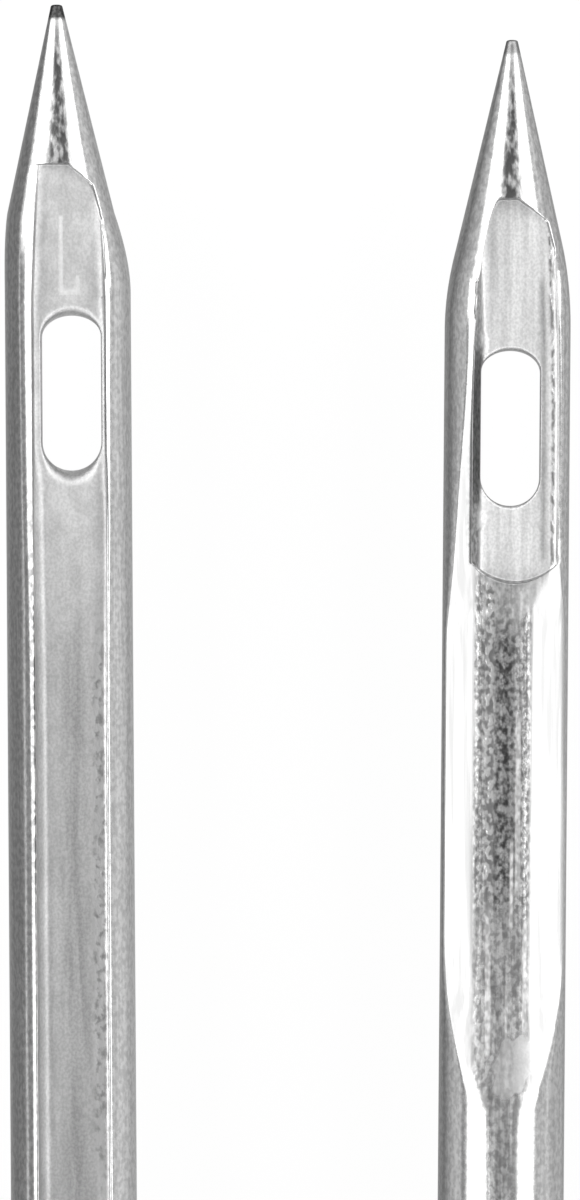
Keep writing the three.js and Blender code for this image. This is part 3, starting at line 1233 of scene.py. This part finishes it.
class NodeBench:
    """Places and links the nodes of one material, node group or world."""

    def __init__(self, tree: bpy.types.NodeTree) -> None:
        """Takes the tree and clears it."""
        self.tree = tree
        tree.nodes.clear()

    def add(self, kind: str, values: dict | None = None, **settings: object) -> bpy.types.Node:
        """Adds a node, with its settings and the values or links of its inputs.

        Args:
            kind: Blender's name of the node type.
            values: Inputs by name or number; a socket is linked, anything else is set.
            settings: Properties of the node.

        Returns:
            The node.
        """
        node = self.tree.nodes.new(kind)
        for name, value in settings.items():
            setattr(node, name, value)
        for name, value in (values or {}).items():
            self.feed(node.inputs[name], value)
        return node

    def feed(self, target: Socket, value: object) -> None:
        """Links a socket to the target, or sets the target's own value.

        Args:
            target: An input of a node.
            value: A socket, or the value to set.
        """
        if isinstance(value, Socket):
            self.tree.links.new(value, target)
        else:
            target.default_value = value

    def math(self, operation: str, *values: object) -> Socket:
        """Output of a Math node on one or more values or sockets."""
        return self.add("ShaderNodeMath", dict(enumerate(values)), operation=operation).outputs[0]

    def range(self, value: object, given: Pair, wanted: Pair) -> Socket:
        """Output of a smooth Map Range from one range to another."""
        values = {"Value": value, 1: given[0], 2: given[1], 3: wanted[0], 4: wanted[1]}
        return self.add("ShaderNodeMapRange", values, interpolation_type="SMOOTHSTEP").outputs[0]

    def blend(self, share: object, first: object, second: object) -> Socket:
        """Value between two values, by a share from 0 to 1."""
        return self.add("ShaderNodeMix", {0: share, 2: first, 3: second}, data_type="FLOAT").outputs[0]

    def grey(self, tone: object) -> Socket:
        """Colour with one tone in all its channels."""
        return self.add("ShaderNodeCombineColor", {0: tone, 1: tone, 2: tone}).outputs[0]


def new_material(name: str) -> tuple[bpy.types.Material, NodeBench]:
    """Makes a material with an empty tree, and the bench for its nodes.

    Args:
        name: Name of the material.

    Returns:
        The material and its bench.
    """
    material = bpy.data.materials.new(name)
    material.use_nodes = True
    return material, NodeBench(material.node_tree)


@dataclass(frozen=True)
class Grain:
    """A noise pattern: grains per millimetre across and along the needle, octaves, and which pattern."""

    across: float
    along: float
    detail: float
    seed: float


class StretchedNoise:
    """Node group: noise whose grain has its own length along and across the needle, per millimetre."""

    INPUTS = ("Across", "Along", "Detail", "Seed")

    def __init__(self) -> None:
        """Builds the group: object coordinates times the grain's pitch, into a noise texture."""
        self.tree = bpy.data.node_groups.new("steel_grain", "ShaderNodeTree")
        for name in self.INPUTS:
            self.tree.interface.new_socket(name, in_out="INPUT", socket_type="NodeSocketFloat")
        self.tree.interface.new_socket("Grain", in_out="OUTPUT", socket_type="NodeSocketFloat")
        bench = NodeBench(self.tree)
        given = bench.add("NodeGroupInput").outputs
        across = bench.math("DIVIDE", given["Across"], MM)
        along = bench.math("DIVIDE", given["Along"], MM)
        pitch = bench.add("ShaderNodeCombineXYZ", {0: across, 1: along, 2: across}).outputs[0]
        place = bench.add("ShaderNodeTexCoord").outputs["Object"]
        scaled = bench.add("ShaderNodeVectorMath", {0: place, 1: pitch}, operation="MULTIPLY").outputs[0]
        noise = bench.add(
            "ShaderNodeTexNoise",
            {"Vector": scaled, "W": given["Seed"], "Scale": 1.0, "Detail": given["Detail"]},
            noise_dimensions="4D",
        )
        bench.add("NodeGroupOutput", {"Grain": noise.outputs[0]})

    def place(self, bench: NodeBench, grain: Grain) -> Socket:
        """Places the group in a material.

        Args:
            bench: The material's bench.
            grain: The pattern.

        Returns:
            The noise, about 0.5 on average.
        """
        values = {name: getattr(grain, name.lower()) for name in self.INPUTS}
        return bench.add("ShaderNodeGroup", values, node_tree=self.tree).outputs["Grain"]


LINES = Grain(55.0, 1.2, 2.0, 0.0)
STREAKS = Grain(24.0, 1.6, 2.0, 4.0)
RIDGES = Grain(34.0, 1.0, 2.0, 8.0)
FINE = Grain(70.0, 55.0, 2.0, 12.0)
PEEL = Grain(38.0, 28.0, 2.0, 16.0)
SPOTS = Grain(28.0, 22.0, 1.0, 18.0)
SCRATCHES = Grain(30.0, 9.0, 2.0, 18.0)
BLOTS = Grain(36.0, 27.0, 3.0, 20.0)
GRINDING = Grain(20.0, 0.5, 2.0, 28.0)
POCKS = Grain(26.0, 20.0, 3.0, 32.0)
CLOUDS = Grain(9.0, 5.0, 3.0, 24.0)


@dataclass(frozen=True)
class Look:
    """Tone, roughness and relief of one finish: a grain, under a veil of broader streaks or peel."""

    grain: Grain
    tones: Pair
    roughness: float
    relief: float
    contrast: Pair = (0.35, 0.65)
    veil: Grain = STREAKS
    veil_tones: Pair = (0.95, 1.05)
    veil_relief: float = 0.0

    def place(self, bench: NodeBench, noise: StretchedNoise) -> tuple[object, ...]:
        """Places the look in a material.

        Args:
            bench: The material's bench.
            noise: The group that both patterns come from.

        Returns:
            The tone, the roughness, and the height in thousandths of a millimetre.
        """
        grain, veil = noise.place(bench, self.grain), noise.place(bench, self.veil)
        tone = bench.range(grain, self.contrast, self.tones)
        tone = bench.math("MULTIPLY", tone, bench.range(veil, self.contrast, self.veil_tones))
        height = bench.math("MULTIPLY_ADD", grain, self.relief, -self.relief / 2)
        veil_height = bench.math("MULTIPLY_ADD", veil, self.veil_relief, -self.veil_relief / 2)
        return tone, self.roughness, bench.math("ADD", height, veil_height)


PLAIN_LOOK = Look(LINES, (0.56, 0.64), 0.16, 0.15, veil=PEEL, veil_tones=(0.84, 1.14), veil_relief=0.12)
LOOKS = {
    Finish.PRESSED: Look(
        FINE, (0.55, 0.65), 0.55, 0.5, veil=CLOUDS, veil_tones=(0.9, 1.08), veil_relief=0.5,
    ),
    Finish.PALE: Look(FINE, (0.66, 0.79), 0.55, 0.5, veil_tones=(0.88, 1.08), veil_relief=0.5),
    Finish.GROUND: Look(GRINDING, (0.42, 0.57), 0.17, 0.2, contrast=(0.42, 0.6)),
    # painted shade: a darker tone for the deep floor, the band beside the eye and the funnel
    Finish.PAINTED_SHADE: Look(FINE, (0.36, 0.45), 0.55, 0.5, veil_tones=(0.85, 1.1), veil_relief=0.5),
    Finish.PITS: Look(POCKS, (0.66, 0.36), 0.42, 5.0, contrast=(0.48, 0.66)),
    Finish.STRIP: Look(
        BLOTS, (0.5, 0.95), 0.22, 0.9, veil=RIDGES, veil_tones=(0.7, 1.3), veil_relief=0.8,
    ),
    Finish.PITTED: Look(
        BLOTS, (0.34, 0.98), 0.22, 2.2, veil=RIDGES, veil_tones=(0.7, 1.25), veil_relief=0.8,
    ),
    Finish.CORE: Look(
        BLOTS, (0.12, 0.78), 0.24, 2.8, veil=RIDGES, veil_tones=(0.75, 1.2), veil_relief=0.6,
    ),
    Finish.STREAK: Look(SPOTS, (0.4, 0.75), 0.5, 1.5),
    Finish.BEADS: Look(SPOTS, (0.4, 1.0), 0.22, 6.0, contrast=(0.42, 0.58)),
    Finish.DIE: Look(FINE, (0.88, 0.98), 0.45, 0.6),
    Finish.LIP: Look(SPOTS, (0.2, 0.72), 0.24, 0.2, contrast=(0.4, 0.62)),
    # painted shade: a dark tone on the groove's steep walls
    Finish.WALL: Look(PEEL, (0.16, 0.34), 0.4, 1.0),
    Finish.RIM: Look(FINE, (0.58, 0.72), 0.42, 0.5),
    Finish.PATCH: Look(SCRATCHES, (0.1, 0.55), 0.24, 2.0, contrast=(0.42, 0.66)),
    Finish.TIP: Look(FINE, (0.03, 0.09), 0.35, 0.5),
}


@dataclass(frozen=True)
class PlatedSteel:
    """Bright plating over drawn, pressed and ground steel wire."""

    plain: Look = PLAIN_LOOK
    bump_unit: float = 1e-6

    def material(self) -> bpy.types.Material:
        """Builds the material: each finish's mask lays its look over the plain one.

        Returns:
            The material.
        """
        steel, bench = new_material("plated_steel")
        noise = StretchedNoise()
        tone, rough, height = self.plain.place(bench, noise)
        for finish, look in LOOKS.items():
            mask = bench.add("ShaderNodeAttribute", attribute_name=finish.value).outputs["Fac"]
            new_tone, new_rough, new_height = look.place(bench, noise)
            tone = bench.blend(mask, tone, new_tone)
            rough = bench.blend(mask, rough, new_rough)
            height = bench.blend(mask, height, new_height)
        bump = bench.add(
            "ShaderNodeBump", {"Strength": 1.0, "Distance": self.bump_unit, "Height": height}
        ).outputs[0]
        shader = bench.add("ShaderNodeBsdfPrincipled", {
            "Base Color": bench.grey(tone), "Metallic": 1.0, "Roughness": rough, "Normal": bump,
        })
        bench.add("ShaderNodeOutputMaterial", {"Surface": shader.outputs[0]})
        return steel


@dataclass(frozen=True)
class Softbox:
    """A soft lamp, given by its direction and by the angles from straight up that it covers."""

    name: str
    azimuth: float
    inner_angle: float
    outer_angle: float
    length: float
    radiance: float
    distance: float = 60.0

    def build(self, target: Array) -> None:
        """Hangs the lamp so that it faces the target.

        Args:
            target: Point that the lamp faces, in millimetres.
        """
        angle = math.radians((self.inner_angle + self.outer_angle) / 2)
        half = math.radians((self.outer_angle - self.inner_angle) / 2)
        azimuth = math.radians(self.azimuth)
        lamp = bpy.data.lights.new(self.name, "AREA")
        lamp.shape = "RECTANGLE"
        lamp.size = 2 * self.distance * math.tan(half) * MM
        lamp.size_y = self.length * MM
        lamp.energy = self.radiance * math.pi * lamp.size * lamp.size_y
        holder = new_object(self.name, lamp)
        outward = math.sin(angle)
        direction = np.array([outward * math.cos(azimuth), outward * math.sin(azimuth), math.cos(angle)])
        holder.location = MM * (target + self.distance * direction)
        holder.rotation_euler = (0.0, angle, azimuth)
        holder.visible_camera = False


def flat_sheet(name: str, corners: Array, material: bpy.types.Material) -> bpy.types.Object:
    """Makes a flat sheet for the stage.

    Args:
        name: Name of the sheet and its mesh.
        corners: Its four corners, in order.
        material: What it is covered with.

    Returns:
        The sheet, linked to the scene.
    """
    mesh = bpy.data.meshes.new(name)
    mesh.from_pydata(corners.tolist(), [], [(0, 1, 2, 3)])
    mesh.materials.append(material)
    return new_object(name, mesh)


@dataclass(frozen=True)
class ShadeCard:
    """A graded grey card along the needles that glows and that only the steel's reflections see: a
    painted reflection of the shade on the table round the needles.
    """

    name: str
    start: Pair
    end: Pair
    tones: Pair
    length: float = 60.0

    def build(self) -> None:
        """Sets the card up between two lines along the needles, unseen and without a shadow."""
        start, end = (np.array([x, 0.0, z]) for x, z in (self.start, self.end))
        across = (end - start) / np.linalg.norm(end - start)
        along = np.array([0.0, self.length / 2, 0.0])
        grey, bench = new_material(self.name)
        place = bench.add("ShaderNodeTexCoord").outputs["Object"]
        distance = bench.add(
            "ShaderNodeVectorMath", {0: place, 1: across.tolist()}, operation="DOT_PRODUCT"
        ).outputs["Value"]
        edges = (MM * float(start @ across), MM * float(end @ across))
        tone = bench.grey(bench.range(distance, edges, self.tones))
        glow = bench.add("ShaderNodeEmission", {"Color": tone, "Strength": 1.0}).outputs[0]
        bench.add("ShaderNodeOutputMaterial", {"Surface": glow})
        corners = np.stack([start - along, end - along, end + along, start + along])
        card = flat_sheet(self.name, MM * corners, grey)
        for ray in ("camera", "diffuse", "shadow", "transmission"):
            setattr(card, "visible_" + ray, False)


@dataclass
class Studio:
    """White table, soft light from both sides, a dark ceiling and a camera straight above the points."""

    view_height: float = 7.143
    view_centre: Pair = (0.0278, 14.900)
    axis_height: float = 0.81
    lens: float = 400.0
    sensor: float = 36.0
    clip_start: float = 1.0
    floor_size: float = 4000.0
    floor_drop: float = 0.004
    floor_white: float = 0.9
    floor_glow: float = 0.93
    zenith: float = 0.41
    horizon: float = 0.78
    dim_side: float = 0.42
    sky_heights: Pair = (0.1, 0.95)
    card_height: float = 0.002

    def build(self) -> None:
        """Builds the table, the light and the camera."""
        bpy.context.scene.view_settings.view_transform = "Standard"
        target = np.array([*self.view_centre, self.axis_height])
        self.camera(target)
        self.table()
        self.sky()
        lamps = (
            Softbox("right_softbox", 0.0, 30.0, 62.0, 170.0, 1.9),
            Softbox("right_cone_softbox", 20.0, 62.0, 78.0, 26.0, 1.9),
            Softbox("far_softbox", 90.0, 31.6, 60.0, 60.0, 1.4),
            Softbox("left_cone_softbox", 160.0, 66.0, 88.0, 26.0, 1.9),
            Softbox("left_softbox", 180.0, 27.0, 67.0, 170.0, 1.9),
            Softbox("near_softbox", 270.0, 36.0, 60.0, 60.0, 1.4),
        )
        for lamp in lamps:
            lamp.build(target)
            log.info("lamp %s", lamp.name)
        # glowing grey cards that only the steel reflects: painted reflections of shade beside, under and
        # between the needles
        low = self.card_height
        cards = (
            ShadeCard("shade_card_left", (-15.0, low), (-2.4, low), (0.3, 0.27)),
            ShadeCard("shade_card_left_inner", (-2.4, low), (-0.9, low), (0.3, 0.6)),
            ShadeCard("shade_card_middle_left", (-0.9, low), (-0.05, low), (0.5, 0.55)),
            ShadeCard("shade_card_facing_left", (-0.05, low), (-0.05, 1.08), (0.55, 0.92)),
            ShadeCard("shade_card_facing_right", (0.05, low), (0.05, 1.3), (0.22, 0.78)),
            ShadeCard("shade_card_middle_right", (0.05, low), (0.9, low), (0.3, 0.36)),
            ShadeCard("shade_card_right_inner", (0.9, low), (2.3, low), (0.42, 0.45)),
            ShadeCard("shade_card_right", (2.3, low), (15.0, low), (0.62, 0.88)),
        )
        for card in cards:
            card.build()
            log.info("card %s", card.name)

    def camera(self, target: Array) -> None:
        """Sets the camera straight above the target, far enough for the view's height.

        Args:
            target: Middle of the view, in millimetres.
        """
        data = bpy.data.cameras.new("camera")
        data.lens = self.lens
        data.sensor_width = self.sensor
        data.clip_start = self.clip_start * MM
        holder = new_object("camera", data)
        distance = self.view_height * self.lens / self.sensor
        holder.location = MM * (target + np.array([0.0, 0.0, distance]))
        bpy.context.scene.camera = holder

    def table(self) -> None:
        """Lays the table: a wide plane that camera and steel see as white, with a soft shadow."""
        paper, bench = new_material("white_table")
        white = (self.floor_white, self.floor_white, self.floor_white, 1.0)
        matt = bench.add("ShaderNodeBsdfDiffuse", {"Color": white}).outputs[0]
        glow_colour = (1.0, 1.0, 1.0, 1.0)
        glow = bench.add("ShaderNodeEmission", {"Color": glow_colour, "Strength": 1.0}).outputs[0]
        ray = bench.add("ShaderNodeLightPath").outputs
        seen = bench.math("MAXIMUM", ray["Is Camera Ray"], ray["Is Glossy Ray"])
        seen = bench.math("MAXIMUM", seen, ray["Is Transmission Ray"])
        share = bench.math("MULTIPLY", seen, self.floor_glow)
        mixed = bench.add("ShaderNodeMixShader", {0: share, 1: matt, 2: glow}).outputs[0]
        bench.add("ShaderNodeOutputMaterial", {"Surface": mixed})
        half, drop = self.floor_size / 2, self.floor_drop
        signs = ((-1, -1), (1, -1), (1, 1), (-1, 1))
        corners = np.array([(x * half, y * half, -drop) for x, y in signs])
        table = flat_sheet("table", MM * corners, paper)

    def sky(self) -> None:
        """Surrounds the table with a grey room: darkest straight up, pale at the horizon."""
        world = bpy.data.worlds.new("room")
        world.use_nodes = True
        bench = NodeBench(world.node_tree)
        direction = bench.add("ShaderNodeTexCoord").outputs["Generated"]
        sideways, _, upward = bench.add("ShaderNodeSeparateXYZ", {0: direction}).outputs
        level = bench.range(sideways, (-1.0, 1.0), (self.horizon * self.dim_side, self.horizon))
        share = bench.range(upward, self.sky_heights, (0.0, 1.0))
        tone = bench.grey(bench.blend(share, level, self.zenith))
        light = bench.add("ShaderNodeBackground", {"Color": tone, "Strength": 1.0}).outputs[0]
        bench.add("ShaderNodeOutputWorld", {"Surface": light})
        bpy.context.scene.world = world


def main() -> None:
    """Builds the needles and the studio."""
    logging.basicConfig(level=logging.INFO, format="%(name)s: %(message)s")
    steel = PlatedSteel().material()
    needles = (
        Needle(
            "groove_needle", "groove_needle_butt",
            body=RoundBody(runout=-0.055), eye=Eye(offset=0.02),
            long_groove=LongGroove(offset=0.008, lip_shares=(1.0, 0.5)),
        ),
        Needle(
            "scarf_needle", "scarf_needle_butt", turn=180.0,
            body=RoundBody(runout=-0.013), eye=Eye(offset=-0.02),
            short_groove=ShortGroove(offset=-0.052), tip_strength=0.6, patch_spread=(0.16, 0.3),
        ),
    )
    for needle in needles:
        piece = needle.build()
        needle.dress(piece, steel)
        log.info("piece %s, %d faces", piece.name, len(piece.data.polygons))
    Studio().build()


if __name__ == "__main__":
    main()
